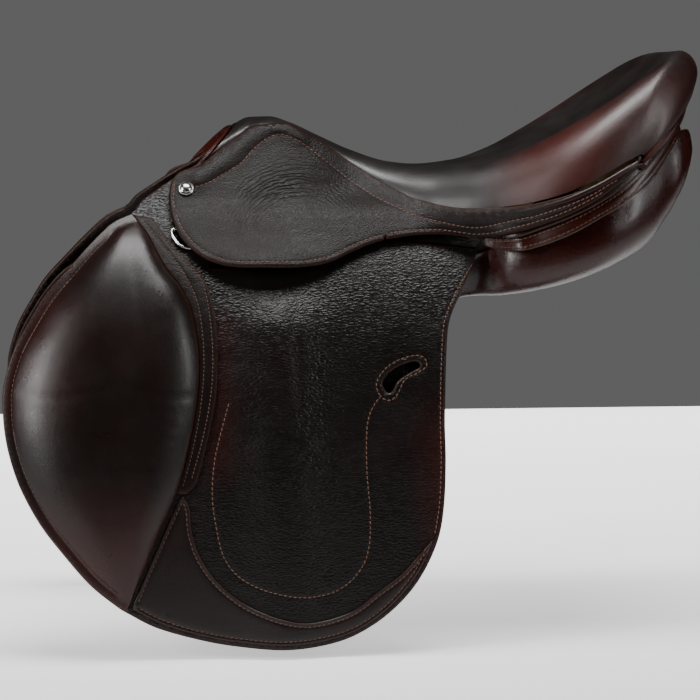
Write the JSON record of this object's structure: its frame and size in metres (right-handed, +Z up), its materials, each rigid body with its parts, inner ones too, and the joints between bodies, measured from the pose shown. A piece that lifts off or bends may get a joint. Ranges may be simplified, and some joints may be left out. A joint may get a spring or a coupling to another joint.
{
  "type": "english saddle",
  "caption": "English jumping saddle with forward flaps, knee pads, skirts, stuffed panels, stirrup bars and girth billets.",
  "frame": {"origin": "centre plane, at the level of the panels' bearing faces under the seat", "axes": "-X to the pommel (the front of the horse), +X to the cantle, -Y the left (near) side, +Z up"},
  "size_m": [0.5832, 0.3716, 0.4685],
  "materials": {
    "grained_leather": "fine grain, semi-matt",
    "smooth_leather": "smooth, polished",
    "mahogany_leather": "smooth, polished",
    "steel": "polished",
    "laminated_wood": "sealed",
    "webbing": "woven",
    "foam": "matt"
  },
  "bodies": {
    "saddle": {"tree_frame": "laminated_wood", "gullet_plate": "steel", "head_plate": "steel", "seat_web_long": "webbing", "seat_web_cross": "webbing", "seat_cover": "smooth_leather", "seat_foam": "foam", "pommel_facing": "mahogany_leather", "cantle_back": "mahogany_leather", "spring_strip_left": "steel", "seat_piping_left": "mahogany_leather", "skirt_left": "grained_leather", "skirt_stud_left": "steel", "flap_top_left": "grained_leather", "front_apron_left": "grained_leather", "sweat_flap_left": "grained_leather", "knee_block_left": "smooth_leather", "billet_web_left": "webbing", "panel_left": "smooth_leather", "rear_facing_left": "mahogany_leather", "stirrup_bar_left": "steel", "spring_strip_right": "steel", "seat_piping_right": "mahogany_leather", "skirt_right": "grained_leather", "skirt_stud_right": "steel", "flap_top_right": "grained_leather", "front_apron_right": "grained_leather", "sweat_flap_right": "grained_leather", "knee_block_right": "smooth_leather", "billet_web_right": "webbing", "panel_right": "smooth_leather", "rear_facing_right": "mahogany_leather", "stirrup_bar_right": "steel"},
    "flap_left": {"flap_left": "grained_leather", "knee_pad_left": "smooth_leather", "flap_cuff_left": "smooth_leather", "d_ring_chape_left": "grained_leather"},
    "skirt_lobe_left": {"skirt_lobe_left": "grained_leather"},
    "d_ring_left": {"d_ring_left": "steel"},
    "billet_front_left": {"billet_front_left": "grained_leather"},
    "billet_middle_left": {"billet_middle_left": "grained_leather"},
    "billet_rear_left": {"billet_rear_left": "grained_leather"},
    "billet_guard_left": {"billet_guard_left": "grained_leather"},
    "bar_catch_left": {"bar_catch_left": "steel"},
    "flap_right": {"flap_right": "grained_leather", "knee_pad_right": "smooth_leather", "flap_cuff_right": "smooth_leather", "d_ring_chape_right": "grained_leather"},
    "skirt_lobe_right": {"skirt_lobe_right": "grained_leather"},
    "d_ring_right": {"d_ring_right": "steel"},
    "billet_front_right": {"billet_front_right": "grained_leather"},
    "billet_middle_right": {"billet_middle_right": "grained_leather"},
    "billet_rear_right": {"billet_rear_right": "grained_leather"},
    "billet_guard_right": {"billet_guard_right": "grained_leather"},
    "bar_catch_right": {"bar_catch_right": "steel"}
  },
  "joints": [
    {"name": "flap_lift_left", "type": "hinge", "parent": "saddle", "child": "flap_left", "pos_m": [-0.0675, -0.09895, 0.05756], "axis": [-0.9905, 0.087, 0.1065], "range_deg": [0, 70]},
    {"name": "skirt_lift_left", "type": "hinge", "parent": "flap_left", "child": "skirt_lobe_left", "pos_m": [-0.0675, -0.09895, 0.05756], "axis": [-0.9905, 0.087, 0.1065], "range_deg": [0, 70]},
    {"name": "d_ring_swing_left", "type": "hinge", "parent": "flap_left", "child": "d_ring_left", "pos_m": [-0.144, -0.09718, 0.05137], "axis": [0, -0.7817, 0.6236], "range_deg": [-8, 8]},
    {"name": "billet_swing_front_left", "type": "hinge", "parent": "saddle", "child": "billet_front_left", "pos_m": [-0.057, -0.10789, 0.01621], "axis": [0, -1, 0], "range_deg": [-4, 2]},
    {"name": "billet_swing_middle_left", "type": "hinge", "parent": "saddle", "child": "billet_middle_left", "pos_m": [-0.019, -0.10789, 0.01621], "axis": [0, -1, 0], "range_deg": [-2, 2]},
    {"name": "billet_swing_rear_left", "type": "hinge", "parent": "saddle", "child": "billet_rear_left", "pos_m": [0.019, -0.10789, 0.01621], "axis": [0, -1, 0], "range_deg": [-2, 4]},
    {"name": "guard_slide_left", "type": "slide", "parent": "saddle", "child": "billet_guard_left", "axis": [0, 0.1563, 0.9877], "range_m": [0, 0.02]},
    {"name": "catch_open_left", "type": "hinge", "parent": "saddle", "child": "bar_catch_left", "pos_m": [-0.046, -0.08, 0.032], "axis": [0, 0, 1], "range_deg": [0, 60]},
    {"name": "flap_lift_right", "type": "hinge", "parent": "saddle", "child": "flap_right", "pos_m": [-0.0675, 0.09895, 0.05756], "axis": [0.9905, 0.087, -0.1065], "range_deg": [0, 70]},
    {"name": "skirt_lift_right", "type": "hinge", "parent": "flap_right", "child": "skirt_lobe_right", "pos_m": [-0.0675, 0.09895, 0.05756], "axis": [0.9905, 0.087, -0.1065], "range_deg": [0, 70]},
    {"name": "d_ring_swing_right", "type": "hinge", "parent": "flap_right", "child": "d_ring_right", "pos_m": [-0.144, 0.09718, 0.05137], "axis": [0, 0.7817, 0.6236], "range_deg": [-8, 8]},
    {"name": "billet_swing_front_right", "type": "hinge", "parent": "saddle", "child": "billet_front_right", "pos_m": [-0.057, 0.10789, 0.01621], "axis": [0, -1, 0], "range_deg": [-4, 2]},
    {"name": "billet_swing_middle_right", "type": "hinge", "parent": "saddle", "child": "billet_middle_right", "pos_m": [-0.019, 0.10789, 0.01621], "axis": [0, -1, 0], "range_deg": [-2, 2]},
    {"name": "billet_swing_rear_right", "type": "hinge", "parent": "saddle", "child": "billet_rear_right", "pos_m": [0.019, 0.10789, 0.01621], "axis": [0, -1, 0], "range_deg": [-2, 4]},
    {"name": "guard_slide_right", "type": "slide", "parent": "saddle", "child": "billet_guard_right", "axis": [0, -0.1563, 0.9877], "range_m": [0, 0.02]},
    {"name": "catch_open_right", "type": "hinge", "parent": "saddle", "child": "bar_catch_right", "pos_m": [-0.046, 0.08, 0.032], "axis": [0, 0, -1], "range_deg": [0, 60]}
  ]
}
